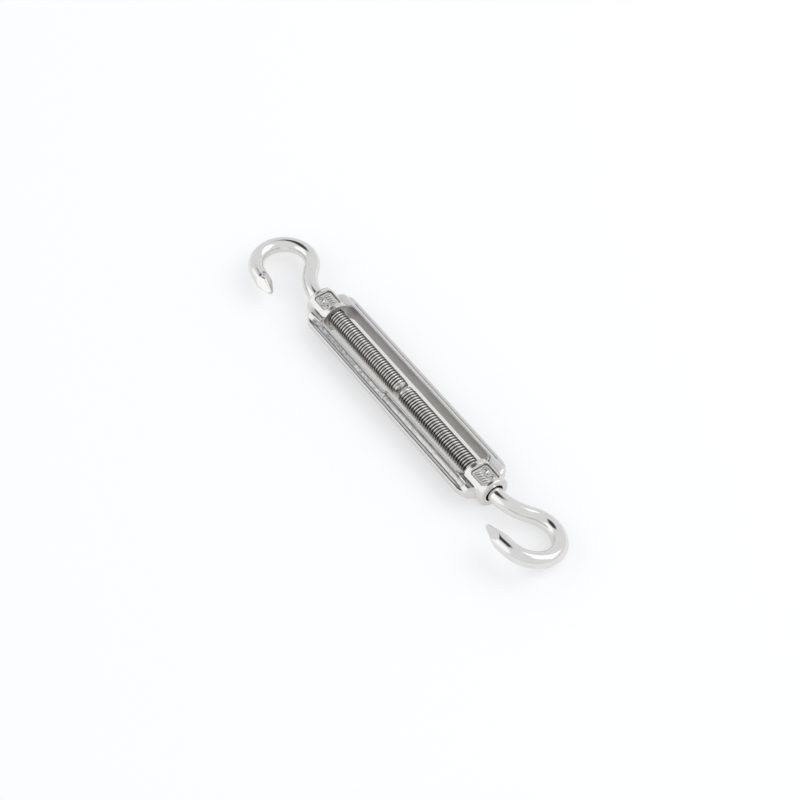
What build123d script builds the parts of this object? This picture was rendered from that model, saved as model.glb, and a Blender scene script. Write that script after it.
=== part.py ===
from build123d import *

import os

# Open-body rigging turnbuckle, M6, with a hook at each end, screwed in to its closed length.
# Millimetres. The origin is the middle of the body's window, on the thread axis. +X runs along the axis
# towards the left-hand hook, +Y across the body, and +Z up as it lies on its two bosses.

# ---------------------------------------------------------------- driving dimensions
thread_pitch = 1.0
thread_crest_radius = 2.9
thread_root_radius = 2.36
thread_crest_flat = 0.18
thread_root_flat = 0.28
thread_clearance = 0.06

body_length = 90.1
boss_radius = 4.95
boss_rim_round = 0.6
window_length = 71.2
window_far_y = 5.4
window_near_y_left = 5.5
window_near_y_right = 4.9
window_jog_x = -1.0
window_corner = 2.0
lip_width = 0.65
lip_half_height = 2.6
plate_half_height = 2.4
plate_half_length = 42.5
plate_corner = 5.1
plate_end_round = 1.2
body_half_width = 8.5
rib_width = 1.25
rib_half_height = 1.15
rib_round = 0.45
flank_bulge = 0.3
channel_half_length = 38.6
channel_depth = 0.3
channel_corner = 0.5
channel_overlap = 1.5
bore_mouth_chamfer = 0.08

panel_x = 40.4
panel_length = 6.5
panel_width = 6.1
panel_floor = 3.35
panel_corner = 1.0
mark_height = 0.22
mark_width = 0.4

wire_radius = 2.48
right_hand_rod_length = 45.4
left_hand_rod_length = 44.65
staked_length = 2.2
staked_chamfer = 0.45
staked_grooves = (1.1, 1.9)
staked_groove_width = 0.5
thread_end_in_boss = 2.5
neck_radius = 14.8
neck_angle = 45.5
neck_straight = 1.0
loop_radius = 8.83
loop_angle = 217.5
tip_straight = 3.3
tip_length = 6.4
tip_end_half_width = 0.55
right_hand_tip_offset = 0.0
left_hand_tip_offset = 0.9

closed_reach = body_length / 2 + 0.1
right_hand_backed_off = 1.0 * thread_pitch
right_hand_roll = -2.0
left_hand_roll = -17.5

bore_radius = thread_crest_radius + thread_clearance
flank_inner_y = 6.0
rib_inner_y = body_half_width - rib_width


def bar(x_start, x_end, radius):
    """A round bar along X between two stations."""
    plane = Plane(origin=(x_start, 0, 0), z_dir=(1, 0, 0))
    return extrude(plane * Circle(radius), amount=x_end - x_start)


# ---------------------------------------------------------------- body casting
def flank(inner_y, drop):
    """The sloping flank of a rail, from its inner edge down to the outer rib, lowered by drop."""
    start = (inner_y, plate_half_height - drop)
    end = (rib_inner_y, rib_half_height - drop)
    middle = ((start[0] + end[0]) / 2, (start[1] + end[1]) / 2 + flank_bulge)
    return ThreePointArc(start, middle, end)


def plate_quarter_section():
    """One quarter of the cross-section: middle, sloping flank and rounded outer rib."""
    corner = (body_half_width, rib_half_height)
    outline = Polyline(
        (rib_inner_y, rib_half_height), corner, (body_half_width, 0), (0, 0),
        (0, plate_half_height), (flank_inner_y, plate_half_height),
    )
    face = make_face([*outline.edges(), *flank(flank_inner_y, 0).edges()])
    rib_corner = face.vertices().sort_by_distance((*corner, 0))[0]
    return fillet(rib_corner, rib_round)


def plan_prism():
    """The rounded plan outline of the rails and shoulders, rounded over above and below at its ends."""
    outline = RectangleRounded(2 * plate_half_length, 2 * body_half_width, plate_corner)
    prism = extrude(outline, amount=plate_half_height, both=True)
    ends = prism.edges().filter_by(Axis.Y)
    corners = prism.edges().filter_by(GeomType.CIRCLE)
    return fillet(ends + corners, plate_end_round)


def plate():
    """Both rails and both shoulders: the cross-section trimmed to the rounded plan outline."""
    section = plate_quarter_section()
    half = section + mirror(section, about=Plane.YZ)
    whole = half + mirror(half, about=Plane.XZ)
    long_bar = extrude(Plane.YZ * whole, amount=plate_half_length, both=True)
    return long_bar & plan_prism()


def window_outline(x_start, x_end, near_y, margin):
    """A rounded rectangle between two stations, from near_y on the -Y side to the window's far edge."""
    centre = Pos((x_start + x_end) / 2, (window_far_y - near_y) / 2)
    return centre * RectangleRounded(
        x_end - x_start + 2 * margin, window_far_y + near_y + 2 * margin, window_corner + margin
    )


def window_prism(margin, half_height):
    """The window's outline, grown by margin, as an upright prism: its near edge steps part way along."""
    half = window_length / 2
    outline = window_outline(-half, half, window_near_y_right, margin)
    outline += window_outline(-half, window_jog_x, window_near_y_left, margin)
    return extrude(outline, amount=half_height, both=True)


def boss(side):
    """One round boss, with its outer rim rounded over."""
    inner = window_length / 2
    outer = body_length / 2
    solid = bar(inner, outer, boss_radius)
    rim = solid.edges().sort_by(Axis.X)[-1]
    solid = fillet(rim, boss_rim_round)
    return solid if side > 0 else mirror(solid, about=Plane.YZ)


def rail_channel(inner_y, x_start, x_end):
    """A long shallow channel sunk into the near rail's upper and lower flanks, as a cutter."""
    above = plate_half_height + 1
    floor = flank(inner_y, channel_depth)
    walls = Polyline(
        (rib_inner_y, rib_half_height - channel_depth), (rib_inner_y, above),
        (inner_y, above), (inner_y, plate_half_height - channel_depth),
    )
    section = make_face([*floor.edges(), *walls.edges()])
    cutter = extrude(Plane.YZ * section, amount=x_end - x_start)
    cutter = fillet(cutter.edges().filter_by(Axis.Z), channel_corner)
    upper = Pos(x_start, 0, 0) * mirror(cutter, about=Plane.XZ)
    return upper + mirror(upper, about=Plane.XY)


def rail_channels():
    """The near rail's channels, which follow the step in the lip."""
    left = rail_channel(window_near_y_left + lip_width, -channel_half_length, window_jog_x + channel_overlap)
    right = rail_channel(window_near_y_right + lip_width, window_jog_x, channel_half_length)
    return left + right


def panel_pockets(side):
    """The flat sunk panels above and below one boss, as cutters."""
    outline = Pos(side * panel_x, 0, panel_floor) * RectangleRounded(
        panel_length, panel_width, panel_corner
    )
    pocket = extrude(outline, amount=boss_radius)
    return pocket + mirror(pocket, about=Plane.XY)


def wave_mark():
    """A raised wavy line, standing in for the cast marks."""
    radius = 0.75
    mark = Sketch()
    for index in range(3):
        centre = (index - 1) * 2 * radius
        lift = radius if index % 2 == 0 else -radius
        arc = ThreePointArc((centre - radius, 0), (centre, lift), (centre + radius, 0))
        mark += SlotArc(arc, mark_width)
    return mark


def bar_marks():
    """A row of short raised bars."""
    mark = Sketch()
    for index in range(5):
        mark += Pos((index - 2) * 0.95, 0) * SlotOverall(1.5, mark_width, rotation=75)
    return mark


def panel_marks():
    """Plain raised relief on the upper panels: bars and a wave on one, waves on the other."""
    right_hand = Pos(-panel_x, 1.2) * bar_marks() + Pos(-panel_x, -1.2) * wave_mark()
    left_hand = Pos(panel_x, 1.1) * wave_mark() + Pos(panel_x, -1.1) * bar_marks()
    return extrude(Pos(0, 0, panel_floor) * (right_hand + left_hand), amount=mark_height)


def body_frame():
    """The one-piece casting: two bosses, two rails, window, channels, panels and bores."""
    solid = plate() - rail_channels()
    solid += window_prism(lip_width, lip_half_height)
    for side in (-1, 1):
        solid += boss(side)
        solid -= panel_pockets(side)
    solid -= window_prism(0, boss_radius)
    solid -= bar(-body_length, body_length, bore_radius)
    mouth = bar(body_length / 2 - bore_mouth_chamfer, body_length, bore_radius + bore_mouth_chamfer)
    return solid - mouth - mirror(mouth, about=Plane.YZ) + panel_marks()


# ---------------------------------------------------------------- hooks
# Each hook is drawn with its neck starting at the origin, its rod along -X and its loop along +X.
def hook_path():
    """Centre line of the neck, the loop and the straight run to the tip."""
    neck = JernArc((0, 0), (1, 0), neck_radius, neck_angle)
    straight = Line(neck @ 1, neck @ 1 + neck_straight * (neck % 1))
    loop = JernArc(straight @ 1, straight % 1, loop_radius, -loop_angle)
    run = Line(loop @ 1, loop @ 1 + tip_straight * (loop % 1))
    return Wire([*neck.edges(), *straight.edges(), *loop.edges(), *run.edges()])


def diamond(half_diagonal, shift):
    """A square on its corner, moved sideways by shift."""
    return Pos(shift, 0) * Polygon(
        (half_diagonal, 0), (0, half_diagonal), (-half_diagonal, 0), (0, -half_diagonal)
    )


def tip(end_point, end_direction, offset):
    """The four-sided point, pinched out of the round wire and set inwards by offset at its end."""
    inward = Vector(end_direction.Y, -end_direction.X, 0)
    plane = Plane(origin=end_point, x_dir=inward, z_dir=end_direction)
    full_size = wire_radius * 2 ** 0.5
    near_end = plane * diamond(full_size, 0)
    far_end = plane.offset(tip_length) * diamond(tip_end_half_width * 2 ** 0.5, offset)
    point = loft([near_end, far_end])
    return point & extrude(plane * Circle(wire_radius), amount=tip_length)


def rod_profile(left_hand):
    """Half of the rod's outline: the threads, as ridges one pitch apart, and then the plain shank."""
    start = staked_length - rod_length(left_hand)
    end = -thread_end_in_boss
    half_base = (thread_pitch - thread_root_flat) / 2
    half_crest = thread_crest_flat / 2
    outline = [(start, 0), (start, thread_root_radius)]
    ridge_count = int((end - start) / thread_pitch)
    for ridge in range(ridge_count):
        middle = start + (ridge + 0.5) * thread_pitch
        outline.append((middle - half_base, thread_root_radius))
        outline.append((middle - half_crest, thread_crest_radius))
        outline.append((middle + half_crest, thread_crest_radius))
        outline.append((middle + half_base, thread_root_radius))
    outline.append((end, thread_root_radius))
    outline.append((end, wire_radius))
    outline.append((0, wire_radius))
    outline.append((0, 0))
    return outline


def rod_length(left_hand):
    """From the neck to the rod's inner end."""
    return left_hand_rod_length if left_hand else right_hand_rod_length


def hook(left_hand):
    """Threaded rod, shank, neck, loop and tip, in one piece."""
    path = hook_path()
    rod = revolve(make_face(Polyline(*rod_profile(left_hand), close=True)), Axis.X)
    bend = sweep(Plane.YZ * Circle(wire_radius), path=path)
    tip_offset = left_hand_tip_offset if left_hand else right_hand_tip_offset
    return rod + bend + tip(path @ 1, path % 1, tip_offset)


def rod_end(left_hand):
    """The last turns of the rod, squashed flat so that the hook can't be unscrewed from the body."""
    end_x = -rod_length(left_hand)
    solid = bar(end_x, end_x + staked_length, thread_crest_radius)
    end_face = solid.edges().sort_by(Axis.X)[0]
    solid = chamfer(end_face, staked_chamfer)
    rim = thread_crest_radius + staked_groove_width / 2
    floor = (thread_crest_radius + thread_root_radius) / 2
    for station in staked_grooves:
        groove = Polyline(
            (end_x + station - staked_groove_width / 2, rim), (end_x + station, floor),
            (end_x + station + staked_groove_width / 2, rim), close=True,
        )
        solid -= revolve(make_face(groove), Axis.X)
    return solid


def at_left_hand_end(shape):
    """Place a hook piece at the +X end."""
    return Rot(left_hand_roll, 0, 0) * Pos(closed_reach, 0, 0) * shape


def at_right_hand_end(shape):
    """Place a hook piece at the -X end, backed off from the closed stop."""
    reach = closed_reach + right_hand_backed_off
    return Rot(right_hand_roll, 0, 0) * Rot(0, 180, 0) * Pos(reach, 0, 0) * shape


# ---------------------------------------------------------------- nodes
nodes = {
    "body_frame": body_frame(),
    "rh_hook": at_right_hand_end(hook(left_hand=False)),
    "lh_hook": at_left_hand_end(hook(left_hand=True)),
    "rh_rod_end": at_right_hand_end(rod_end(left_hand=False)),
    "lh_rod_end": at_left_hand_end(rod_end(left_hand=True)),
}

os.makedirs("parts", exist_ok=True)
for name, shape in nodes.items():
    export_step(shape, f"parts/{name}.step")
    box = shape.bounding_box()
    print(name, len(shape.solids()), shape.is_valid, round(shape.volume, 1), box.min, box.max)
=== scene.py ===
from math import cos, pi, radians, sin

import bpy
import numpy as np
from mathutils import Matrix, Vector


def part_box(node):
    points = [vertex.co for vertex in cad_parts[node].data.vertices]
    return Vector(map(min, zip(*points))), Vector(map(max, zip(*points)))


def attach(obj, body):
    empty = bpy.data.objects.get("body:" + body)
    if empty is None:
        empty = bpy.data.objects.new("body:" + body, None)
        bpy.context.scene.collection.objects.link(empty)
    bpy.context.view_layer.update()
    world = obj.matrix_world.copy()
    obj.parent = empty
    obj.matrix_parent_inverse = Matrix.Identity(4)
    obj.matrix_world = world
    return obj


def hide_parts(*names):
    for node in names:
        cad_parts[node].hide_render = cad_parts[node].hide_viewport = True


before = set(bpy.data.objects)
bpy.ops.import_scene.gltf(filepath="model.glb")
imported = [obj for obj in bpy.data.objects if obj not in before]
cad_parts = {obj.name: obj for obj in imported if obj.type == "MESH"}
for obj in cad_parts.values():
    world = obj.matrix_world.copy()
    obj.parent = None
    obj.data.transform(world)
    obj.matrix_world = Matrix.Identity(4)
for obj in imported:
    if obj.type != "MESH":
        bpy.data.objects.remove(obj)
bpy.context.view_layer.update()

scene = bpy.context.scene
scene.view_settings.view_transform = "Standard"

# ---------------------------------------------------------------- sizes, in metres, read from the frame
MM = 0.001
floor_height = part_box("body_frame")[0].z

thread_pitch = 1.0 * MM
thread_crest_radius = 2.86 * MM
thread_root_radius = 2.3 * MM
wire_radius = 2.47 * MM
neck_radius = 14.8 * MM
neck_angle = radians(45.5)
neck_straight = 1.0 * MM
loop_radius = 8.83 * MM
loop_angle = radians(217.5)
tip_straight = 3.3 * MM
tip_length = 6.4 * MM
tip_end_half_width = 0.55 * MM
shank_length = 2.5 * MM

window_end = 35.6 * MM
window_far = 5.4 * MM
window_near_left = 5.5 * MM
window_near_right = 4.9 * MM
window_step_x = -1.0 * MM
channel_outer = 7.25 * MM
lip_width = 0.65 * MM
lip_rise = 0.28 * MM
window_corner = 2.0 * MM
lip_lowest = 2.42 * MM
lip_highest = 2.8 * MM
channel_half_length = 38.5 * MM

# Where each hook sits: its neck's start along X, its roll about X in degrees, its thread and its tip.
hooks = {
    "rh": {"side": -1, "neck_x": 46.15 * MM, "roll": -2.0, "left_hand": False, "tip_offset": 0.0},
    "lh": {"side": 1, "neck_x": 45.15 * MM, "roll": -17.5, "left_hand": True, "tip_offset": 0.9 * MM},
}


# ---------------------------------------------------------------- node helpers
def new_material(name):
    """An empty node material: its tree and its shader, joined to the output."""
    material = bpy.data.materials.new(name)
    material.use_nodes = True
    tree = material.node_tree
    return material, tree, tree.nodes["Principled BSDF"]


def add_node(tree, kind, settings=(), **inputs):
    """A node with attributes and unlinked inputs set by name."""
    node = tree.nodes.new(kind)
    for name, value in dict(settings).items():
        setattr(node, name, value)
    for name, value in inputs.items():
        node.inputs[name.replace("_", " ")].default_value = value
    return node


def noise(tree, vector, scale, detail=3.0, roughness=0.55):
    """Noise over the object, at a scale in cycles a metre."""
    node = add_node(tree, "ShaderNodeTexNoise", Scale=scale, Detail=detail, Roughness=roughness)
    tree.links.new(vector, node.inputs["Vector"])
    return node.outputs["Fac"]


def stretched(tree, scale):
    """Object coordinates, scaled unevenly, so that noise runs in streaks."""
    coordinates = add_node(tree, "ShaderNodeTexCoord")
    mapping = add_node(tree, "ShaderNodeMapping", Scale=scale)
    tree.links.new(coordinates.outputs["Object"], mapping.inputs["Vector"])
    return mapping.outputs["Vector"]


def remap(tree, value, low, high, to_low, to_high):
    """A value carried from one range to another, and held at its ends."""
    node = tree.nodes.new("ShaderNodeMapRange")
    tree.links.new(value, node.inputs["Value"])
    names = ("From Min", "From Max", "To Min", "To Max")
    for name, number in zip(names, (low, high, to_low, to_high)):
        node.inputs[name].default_value = number
    return node.outputs["Result"]


def calculate(tree, operation, first, second):
    """One sum on two values or sockets."""
    node = add_node(tree, "ShaderNodeMath", {"operation": operation})
    for index, value in enumerate((first, second)):
        if isinstance(value, (int, float)):
            node.inputs[index].default_value = value
        else:
            tree.links.new(value, node.inputs[index])
    return node.outputs[0]


def blend_colours(tree, share, first, second):
    """A colour between two, by a share from 0 to 1."""
    node = add_node(tree, "ShaderNodeMix", {"data_type": "RGBA"})
    tree.links.new(share, node.inputs["Factor"])
    colour_inputs = [socket for socket in node.inputs if socket.type == "RGBA"]
    for socket, value in zip(colour_inputs, (first, second)):
        if isinstance(value, tuple):
            socket.default_value = value
        else:
            tree.links.new(value, socket)
    return next(socket for socket in node.outputs if socket.type == "RGBA")


def add_bump(tree, shader, height, strength, distance):
    """Fine relief in the surface's shading."""
    node = add_node(tree, "ShaderNodeBump", Strength=strength, Distance=distance)
    tree.links.new(height, node.inputs["Height"])
    tree.links.new(node.outputs["Normal"], shader.inputs["Normal"])


def attribute(tree, name):
    """A mask stored on the mesh's points."""
    node = add_node(tree, "ShaderNodeAttribute", {"attribute_name": name})
    return node.outputs["Fac"]


# ---------------------------------------------------------------- materials
def polished_steel():
    """The hooks: bright drawn and bent bar, with faint lengthwise draw marks, and painted shade that darkens
    the thread roots and dents.
    """
    material, tree, shader = new_material("polished_steel")
    shader.inputs["Metallic"].default_value = 1.0
    streaks = noise(tree, stretched(tree, (120, 900, 900)), 1.0)
    cloudy = noise(tree, stretched(tree, (260, 260, 260)), 1.0)
    shaded_hollows = attribute(tree, "hollow_shade")
    bright = blend_colours(tree, cloudy, (0.72, 0.71, 0.685, 1), (0.79, 0.78, 0.755, 1))
    # painted shade: the thread roots and dents darkened towards near black
    colour = blend_colours(tree, shaded_hollows, bright, (0.05, 0.034, 0.022, 1))
    tree.links.new(colour, shader.inputs["Base Color"])
    dull = calculate(tree, "MULTIPLY", shaded_hollows, 0.28)
    shine = remap(tree, streaks, 0.3, 0.7, 0.09, 0.17)
    tree.links.new(calculate(tree, "ADD", shine, dull), shader.inputs["Roughness"])
    add_bump(tree, shader, streaks, 0.06, 0.02 * MM)
    return material


def cast_steel():
    """The body: polished casting, dull and mottled where the polishing wheel didn't reach, with painted shade
    darkening its window walls and its creases.
    """
    material, tree, shader = new_material("cast_steel")
    shader.inputs["Metallic"].default_value = 1.0
    channel = attribute(tree, "channel")
    wall = attribute(tree, "wall")
    mottle = noise(tree, stretched(tree, (700, 1100, 1100)), 1.0, 5.0, 0.65)
    patches = noise(tree, stretched(tree, (240, 480, 480)), 1.0, 3.0)
    streaks = noise(tree, stretched(tree, (90, 1400, 1400)), 1.0, 4.0)
    bright = blend_colours(tree, patches, (0.67, 0.66, 0.64, 1), (0.74, 0.73, 0.71, 1))
    speckle = remap(tree, mottle, 0.36, 0.66, 0, 1)
    cast = blend_colours(tree, speckle, (0.2, 0.205, 0.215, 1), (0.66, 0.66, 0.66, 1))
    # painted shade: the window walls coloured darker than the polished faces, with streaks along them
    shaded_wall_colour = blend_colours(tree, streaks, (0.46, 0.44, 0.41, 1), (0.58, 0.56, 0.53, 1))
    with_cast = blend_colours(tree, channel, bright, cast)
    with_walls = blend_colours(tree, wall, with_cast, shaded_wall_colour)
    # painted shade: every crease darkened towards near black
    with_crease_shade = blend_colours(tree, attribute(tree, "crease_shade"), with_walls, (0.05, 0.045, 0.04, 1))
    tree.links.new(with_crease_shade, shader.inputs["Base Color"])
    rough_cast = calculate(tree, "MULTIPLY", channel, 0.22)
    rough_wall = calculate(tree, "MULTIPLY", wall, 0.3)
    shine = remap(tree, patches, 0.3, 0.7, 0.18, 0.27)
    roughness = calculate(tree, "ADD", calculate(tree, "ADD", shine, rough_cast), rough_wall)
    tree.links.new(roughness, shader.inputs["Roughness"])
    relief = calculate(tree, "MULTIPLY", mottle, remap(tree, channel, 0, 1, 0.08, 1))
    add_bump(tree, shader, relief, 0.5, 0.12 * MM)
    return material


# ---------------------------------------------------------------- mesh helpers
def new_piece(name, vertices, faces, material, masks=None):
    """A smooth-shaded mesh object, with any masks stored on its points."""
    mesh = bpy.data.meshes.new(name)
    mesh.from_pydata(vertices, [], faces)
    mesh.validate()
    mesh.shade_smooth()
    mesh.materials.append(material)
    for mask, values in (masks or {}).items():
        mesh.attributes.new(mask, "FLOAT", "POINT").data.foreach_set("value", values)
    piece = bpy.data.objects.new(name, mesh)
    scene.collection.objects.link(piece)
    return piece


def grid_faces(rings, around):
    """Quads between rings of points, and a fan closing each end on its own centre point."""
    faces = []
    for ring in range(rings - 1):
        for step in range(around):
            beside = (step + 1) % around
            low, high = ring * around, (ring + 1) * around
            faces.append((low + step, low + beside, high + beside, high + step))
    first_centre = rings * around
    last = (rings - 1) * around
    for step in range(around):
        beside = (step + 1) % around
        faces.append((beside, step, first_centre))
        faces.append((last + step, last + beside, first_centre + 1))
    return faces


def eased(value):
    """0 to 1 with a smooth start and end."""
    held = min(1.0, max(0.0, value))
    return held * held * (3 - 2 * held)


# ---------------------------------------------------------------- hooks
# Each hook is worked out with its neck starting at the origin, its rod along -X and its loop along +X.
def bend_point(distance):
    """The point and direction on the hook's centre line at a distance from the neck's start."""
    if distance <= 0:
        return Vector((distance, 0, 0)), 0.0
    neck_run = neck_radius * neck_angle
    if distance <= neck_run:
        turned = distance / neck_radius
        return Vector((neck_radius * sin(turned), neck_radius * (1 - cos(turned)), 0)), turned
    neck_end = Vector((neck_radius * sin(neck_angle), neck_radius * (1 - cos(neck_angle)), 0))
    ahead = Vector((cos(neck_angle), sin(neck_angle), 0))
    beyond = distance - neck_run
    if beyond <= neck_straight:
        return neck_end + beyond * ahead, neck_angle
    loop_start = neck_end + neck_straight * ahead
    centre = loop_start + loop_radius * Vector((sin(neck_angle), -cos(neck_angle), 0))
    turned = min((beyond - neck_straight) / loop_radius, loop_angle)
    heading = neck_angle - turned
    on_loop = centre + loop_radius * Vector((-sin(heading), cos(heading), 0))
    past = beyond - neck_straight - loop_radius * loop_angle
    return on_loop + max(0.0, past) * Vector((cos(heading), sin(heading), 0)), heading


def tip_shift(hook):
    """How far the end of the point is set towards the hook's inside."""
    heading = bend_point(hook_length)[1]
    return hook["tip_offset"] * Vector((-sin(heading), cos(heading), 0))


bend_length = neck_radius * neck_angle + neck_straight + loop_radius * loop_angle + tip_straight
hook_length = bend_length + tip_length

# Small forging dents where the taper starts: place along the bar, angle round it, size and depth.
hooks["rh"]["dents"] = [
    (bend_length - 0.9 * MM, radians(248), 0.5 * MM, 0.12 * MM),
    (bend_length - 0.1 * MM, radians(285), 0.28 * MM, 0.09 * MM),
    (bend_length + 0.2 * MM, radians(262), 0.3 * MM, 0.1 * MM),
]
hooks["lh"]["dents"] = [
    (bend_length + 0.4 * MM, radians(140), 0.3 * MM, 0.08 * MM),
    (bend_length + 5.2 * MM, radians(96), 0.45 * MM, 0.07 * MM),
]


def thread_height(phase):
    """The thread's profile over one pitch, from 0 in the root to 1 on the crest: round, with narrow roots."""
    return (0.5 - 0.5 * cos(2 * pi * phase)) ** 0.72


def tip_radius(angle, into_tip):
    """The four-sided point: round bar cut back by four flats that close in, with its edges rounded."""
    across_flats = wire_radius + into_tip * (tip_end_half_width - wire_radius)
    from_flat = abs(angle % (pi / 2) - pi / 4)
    pointed = across_flats / cos(min(from_flat, radians(38)))
    blunt = 1 - 0.55 * eased((into_tip - 0.93) / 0.07)
    return min(wire_radius, pointed) * blunt


def dent_depth(dents, station, angle):
    """How far small dents sink the surface at a place on the bar."""
    depth = 0.0
    for place, around_angle, size, deepest in dents:
        apart = (angle - around_angle + pi) % (2 * pi) - pi
        distance_squared = (station - place) ** 2 + (wire_radius * apart) ** 2
        depth += deepest * 2.718 ** (-distance_squared / size ** 2)
    return depth


def thread_radius(station, angle, left_hand):
    """The thread's radius and its height over the root, at a place on the rod."""
    hand = -1 if left_hand else 1
    height = thread_height((station / thread_pitch - hand * angle / (2 * pi)) % 1.0)
    return thread_root_radius + (thread_crest_radius - thread_root_radius) * height, height


def hook_rings(rod_start, hook, around):
    """Every ring of the hook's surface: threaded rod, plain shank, bends and four-sided tip."""
    points, hollow_shade = [], []
    steps_a_pitch = 14
    thread_end = -shank_length
    threaded = int((thread_end - rod_start) / thread_pitch * steps_a_pitch)
    stations = [rod_start + (thread_end - rod_start) * i / threaded for i in range(threaded)]
    plain = 220
    stations += [thread_end + (hook_length - thread_end) * i / plain for i in range(plain + 1)]
    for station in stations:
        centre, heading = bend_point(station)
        sideways = Vector((-sin(heading), cos(heading), 0))
        into_tip = min(1.0, max(0.0, (station - bend_length) / tip_length))
        shift = -hook["tip_offset"] * into_tip
        fade = eased((thread_end - station) / (1.5 * thread_pitch))
        for step in range(around):
            angle = 2 * pi * step / around
            ridge, height = thread_radius(station, angle, hook["left_hand"])
            plain_radius = tip_radius(angle, into_tip) if into_tip > 0 else wire_radius
            dent = dent_depth(hook["dents"], station, angle) if station > bend_length - 3 * MM else 0.0
            radius = plain_radius + fade * (ridge - plain_radius) - dent
            across = radius * cos(angle) + shift
            points.append(centre + across * sideways + Vector((0, 0, radius * sin(angle))))
            # painted shade: darkest in the thread roots, and in the forging dents
            hollow_shade.append(fade * min(1.0, 1.15 * (1 - height)) + min(0.7, dent / (0.12 * MM)))
    return points, hollow_shade, len(stations)


def staked_rings(rod_start, rod_end, hook, around):
    """The rod's last turns, hammered flat: crests spread and lowered, and a chamfered end."""
    points, hollow_shade = [], []
    rings = 44
    for ring in range(rings + 1):
        station = rod_end + (rod_start - rod_end) * ring / rings
        squash = eased((rod_start - station) / (rod_start - rod_end) * 1.25)
        from_end = station - rod_end
        chamfer = 0.28 * MM * (1 - eased(from_end / (0.28 * MM)))
        for step in range(around):
            angle = 2 * pi * step / around
            ridge, height = thread_radius(station, angle, hook["left_hand"])
            flattened = thread_crest_radius - 0.16 * MM - 0.1 * MM * (1 - height)
            hammered = 0.13 * MM * squash * max(0.0, cos(2 * angle)) ** 4
            radius = ridge + squash * (flattened - ridge) - hammered - chamfer
            points.append(Vector((station, radius * cos(angle), radius * sin(angle))))
            # painted shade in the thread roots, fading where the turns are hammered flat
            hollow_shade.append(min(1.0, 1.15 * (1 - height)) * (1 - 0.55 * squash))
    return points, hollow_shade, rings + 1


def placed(points, hook):
    """Points turned and moved from the hook's own place to its place on the body."""
    roll = radians(hook["roll"])
    moved = []
    for point in points:
        x = hook["side"] * (point.x + hook["neck_x"])
        z = hook["side"] * point.z
        moved.append((x, point.y * cos(roll) - z * sin(roll), point.y * sin(roll) + z * cos(roll)))
    return moved


def build_bar_piece(name, stands_for, rings_made, ends, hook, material):
    """One piece of a hook, from its rings, in its place and riding on its own body."""
    points, hollow_shade, rings = rings_made
    faces = grid_faces(rings, len(points) // rings)
    # the painted shade mask, with none at the two end centre points
    masks = {"hollow_shade": hollow_shade + [0.0, 0.0]}
    piece = new_piece(name, placed(points + ends, hook), faces, material, masks)
    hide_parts(stands_for)
    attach(piece, stands_for)


def build_hook(name, hook, material):
    """One hook: the bar from the thread to the tip, and the staked end of its rod."""
    low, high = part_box(name + "_rod_end")
    join_x, end_x = (low.x, high.x) if hook["side"] < 0 else (high.x, low.x)
    rod_start = abs(join_x) - hook["neck_x"]
    rod_end = hook["side"] * end_x - hook["neck_x"]
    around = 72
    bar_ends = [bend_point(rod_start)[0], bend_point(hook_length)[0] - tip_shift(hook)]
    bar = hook_rings(rod_start, hook, around)
    build_bar_piece(name + "_hook_bar", name + "_hook", bar, bar_ends, hook, material)
    staked_ends = [Vector((rod_end, 0, 0)), Vector((rod_start, 0, 0))]
    staked = staked_rings(rod_start, rod_end, hook, around)
    build_bar_piece(name + "_staked_end", name + "_rod_end", staked, staked_ends, hook, material)


# ---------------------------------------------------------------- body
def window_side(x, y):
    """How far the window reaches from the thread's axis, on the side that a point lies."""
    if y > 0:
        return window_far
    return window_near_left if x < window_step_x else window_near_right


def body_masks(mesh):
    """How much of each point is sunk channel and how much is window wall, from where it lies."""
    channels, walls = [], []
    for vertex in mesh.vertices:
        x, y, _ = vertex.co
        edge = window_side(x, y)
        channel_inner = edge + lip_width
        across = eased((-y - channel_inner) / (0.15 * MM)) * eased((channel_outer + y) / (0.15 * MM))
        along = eased((channel_half_length - abs(x)) / (0.4 * MM))
        roughest = 0.4 + 0.6 * eased((25 * MM - x) / (50 * MM))
        channels.append(across * along * roughest)
        beside = eased((edge + 0.1 * MM - abs(y)) / (0.12 * MM))
        inside = eased((window_end + 0.1 * MM - abs(x)) / (0.2 * MM))
        walls.append(beside * inside)
    return channels, walls


def beyond_window(points):
    """How far each point lies outside the window's rounded outline, in plan."""
    x, y = points[:, 0], points[:, 1]
    near = np.where(x < window_step_x, window_near_left, window_near_right)
    side = np.where(y > 0, window_far, near)
    past_end = np.maximum(np.abs(x) - window_end + window_corner, 0)
    past_side = np.maximum(np.abs(y) - side + window_corner, 0)
    return np.hypot(past_end, past_side) - window_corner


def raise_lip(points):
    """Stand the bead round the window a little prouder, as the real casting has it."""
    outside = beyond_window(points)
    level = np.abs(points[:, 2])
    beside_window = (outside > -0.08 * MM) & (outside < lip_width - 0.03 * MM)
    on_lip = beside_window & (level > lip_lowest) & (level < lip_highest)
    points[:, 2] += np.where(on_lip, lip_rise, 0) * np.sign(points[:, 2])


def neighbour_means(edges, values):
    """For every point, the mean of its neighbours' values."""
    count = len(values)
    total = np.zeros(count)
    for here, there in ((0, 1), (1, 0)):
        total += np.bincount(edges[:, here], weights=values[edges[:, there]], minlength=count)
    return total / np.maximum(1, np.bincount(edges.ravel(), minlength=count))


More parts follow.
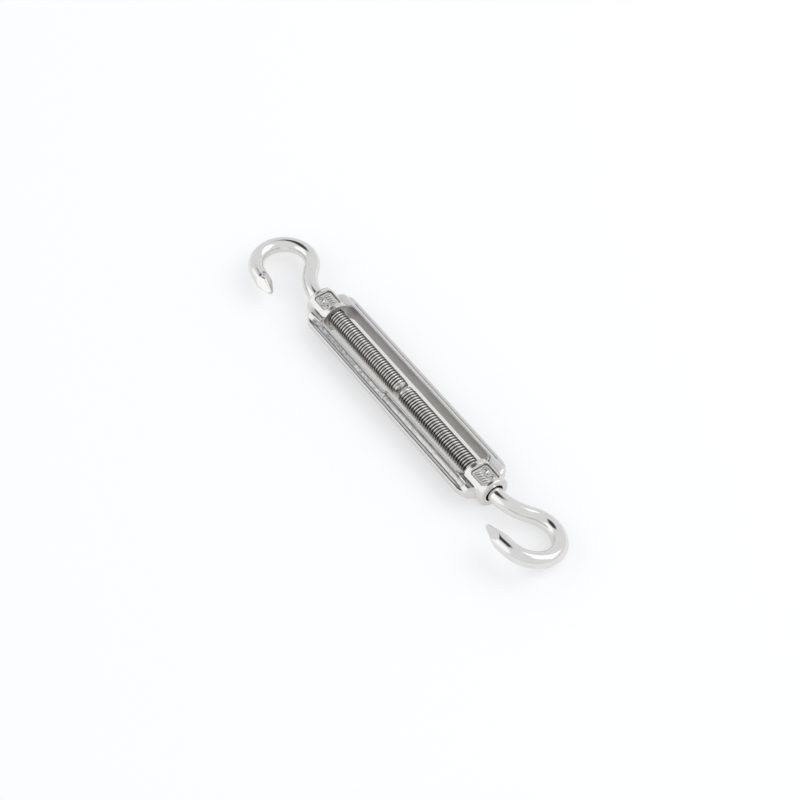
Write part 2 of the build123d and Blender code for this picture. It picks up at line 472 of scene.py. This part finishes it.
def soften_shoulders(points, edges):
    """Round the corners between the bosses and the rails, as the casting has them."""
    x, y = np.abs(points[:, 0]), np.abs(points[:, 1])
    past_window = np.clip((x - 35.8 * MM) / (0.8 * MM), 0, 1)
    along = past_window * np.clip((43.6 * MM - x) / (0.8 * MM), 0, 1)
    share = 0.7 * along * np.clip((y - 3.5 * MM) / (0.5 * MM), 0, 1)
    rounds = 14
    for _ in range(rounds):
        for axis in range(3):
            points[:, axis] += share * (neighbour_means(edges, points[:, axis]) - points[:, axis])


def crease_mask(points, normals, edges):
    """How far each point lies in a crease, from how its neighbours stand above it; the material paints shade
    there.
    """
    rise = np.zeros(len(points))
    for axis in range(3):
        rise += (neighbour_means(edges, points[:, axis]) - points[:, axis]) * normals[:, axis]
    mask = np.clip((rise / MM - 0.003) / 0.009, 0, 1)
    for _ in range(2):
        mask = np.maximum(mask, neighbour_means(edges, mask))
    return mask


def finish_casting(mesh):
    """Raise the lip, soften the shoulders, and store the masks that the casting's material reads."""
    points = np.empty(3 * len(mesh.vertices))
    mesh.vertices.foreach_get("co", points)
    points = points.reshape(-1, 3)
    edges = np.empty(2 * len(mesh.edges), dtype=np.int32)
    mesh.edges.foreach_get("vertices", edges)
    edges = edges.reshape(-1, 2)
    raise_lip(points)
    soften_shoulders(points, edges)
    mesh.vertices.foreach_set("co", points.ravel())
    mesh.update()
    normals = np.empty(3 * len(mesh.vertices))
    mesh.vertices.foreach_get("normal", normals)
    channels, walls = body_masks(mesh)
    crease_shades = crease_mask(points, normals.reshape(-1, 3), edges)
    masks = {"channel": channels, "wall": walls, "crease_shade": crease_shades}
    for mask, values in masks.items():
        mesh.attributes.new(mask, "FLOAT", "POINT").data.foreach_set("value", values)


def build_body(material):
    """The casting: the CAD shape with its edges softened as casting and polishing leave them."""
    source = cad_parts["body_frame"]
    mesh = source.data.copy()
    mesh.materials.clear()
    mesh.materials.append(material)
    piece = bpy.data.objects.new("body_casting", mesh)
    scene.collection.objects.link(piece)
    remesh = piece.modifiers.new("remesh", "REMESH")
    remesh.mode = "VOXEL"
    remesh.voxel_size = 0.13 * MM
    soften = piece.modifiers.new("soften", "SMOOTH")
    soften.factor = 0.5
    soften.iterations = 3
    thin = piece.modifiers.new("thin", "DECIMATE")
    thin.ratio = 0.44
    evaluated = piece.evaluated_get(bpy.context.evaluated_depsgraph_get())
    finished = bpy.data.meshes.new_from_object(evaluated)
    piece.modifiers.clear()
    piece.data = finished
    finish_casting(finished)
    finished.shade_smooth()
    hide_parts("body_frame")
    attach(piece, "frame")


# ---------------------------------------------------------------- stage, light and camera
# Each patch of sky: its direction, half width and half height in degrees, edge softness and colour.
sky_patches = [
    ((-0.42, -0.80, 0.42), 30, 27, 0.25, (1.25, 1.25, 1.25, 1)),
    ((-0.43, -0.03, 0.90), 21, 15, 0.2, (0.05, 0.055, 0.065, 1)),
]


def build_floor():
    """A plain pale floor under the two bosses, lit from below like a light table."""
    half = 1.5
    corners = [(-half, -half), (half, -half), (half, half), (-half, half)]
    mesh = bpy.data.meshes.new("floor")
    mesh.from_pydata([(x, y, floor_height) for x, y in corners], [], [(0, 1, 2, 3)])
    material, tree, shader = new_material("floor_paper")
    shader.inputs["Base Color"].default_value = (0.62, 0.62, 0.625, 1)
    shader.inputs["Emission Color"].default_value = (1, 1, 1, 1)
    shader.inputs["Emission Strength"].default_value = 0.40
    shader.inputs["Roughness"].default_value = 0.9
    mesh.materials.append(material)
    floor = bpy.data.objects.new("floor", mesh)
    scene.collection.objects.link(floor)


def add_softbox(name, direction, distance, width, height, power):
    """A soft rectangular light, facing the object from a direction."""
    data = bpy.data.lights.new(name, "AREA")
    data.shape = "RECTANGLE"
    data.size = width
    data.size_y = height
    data.energy = power
    light = bpy.data.objects.new(name, data)
    aim = Vector(direction).normalized()
    light.location = aim * distance
    light.rotation_euler = aim.to_track_quat("Z", "Y").to_euler()
    scene.collection.objects.link(light)


def direction_patch(tree, direction, centre, half_width, half_height, softness):
    """A soft-edged oval patch of sky round a direction: 1 inside it, 0 outside."""
    ahead = Vector(centre).normalized()
    across = Vector((0, 0, 1)).cross(ahead).normalized()
    upward = ahead.cross(across)
    squares = []
    for axis, half in ((across, half_width), (upward, half_height)):
        dot = add_node(tree, "ShaderNodeVectorMath", {"operation": "DOT_PRODUCT"})
        tree.links.new(direction, dot.inputs[0])
        dot.inputs[1].default_value = axis / sin(radians(half))
        squares.append(calculate(tree, "MULTIPLY", dot.outputs["Value"], dot.outputs["Value"]))
    facing = add_node(tree, "ShaderNodeVectorMath", {"operation": "DOT_PRODUCT"})
    tree.links.new(direction, facing.inputs[0])
    facing.inputs[1].default_value = ahead
    oval = remap(tree, calculate(tree, "ADD", *squares), 1 - softness, 1 + softness, 1, 0)
    return calculate(tree, "MULTIPLY", oval, calculate(tree, "GREATER_THAN", facing.outputs["Value"], 0))


def build_world():
    """A bright studio all round, with one brighter patch low on the near side and one dark patch above."""
    world = bpy.data.worlds.new("studio")
    scene.world = world
    world.use_nodes = True
    tree = world.node_tree
    background = tree.nodes["Background"]
    direction = add_node(tree, "ShaderNodeTexCoord").outputs["Generated"]
    colour = (0.86, 0.875, 0.9, 1)
    for centre, half_width, half_height, softness, patch_colour in sky_patches:
        patch = direction_patch(tree, direction, centre, half_width, half_height, softness)
        colour = blend_colours(tree, patch, colour, patch_colour)
    tree.links.new(colour, background.inputs["Color"])


def build_camera():
    """The camera, above and off the near end, as a product photographer stands."""
    azimuth = radians(54.93)
    elevation = radians(51.53)
    distance = 536.3 * MM
    target = Vector((1.80 * MM, -2.50 * MM, 0))
    ahead = Vector((-sin(azimuth), cos(azimuth), 0))
    look = cos(elevation) * ahead - sin(elevation) * Vector((0, 0, 1))
    data = bpy.data.cameras.new("camera")
    data.sensor_width = 36
    data.lens = 81.5
    data.clip_start = 0.01
    camera = bpy.data.objects.new("camera", data)
    camera.location = target - distance * look
    camera.rotation_euler = look.to_track_quat("-Z", "Y").to_euler()
    scene.collection.objects.link(camera)
    scene.camera = camera


build_camera()
build_floor()
build_world()
add_softbox("key_light", (0.35, 0.75, 0.8), 1.2, 0.9, 0.9, 2.6)

steel = polished_steel()
casting = cast_steel()
build_body(casting)
for hook_name, hook_facts in hooks.items():
    build_hook(hook_name, hook_facts, steel)
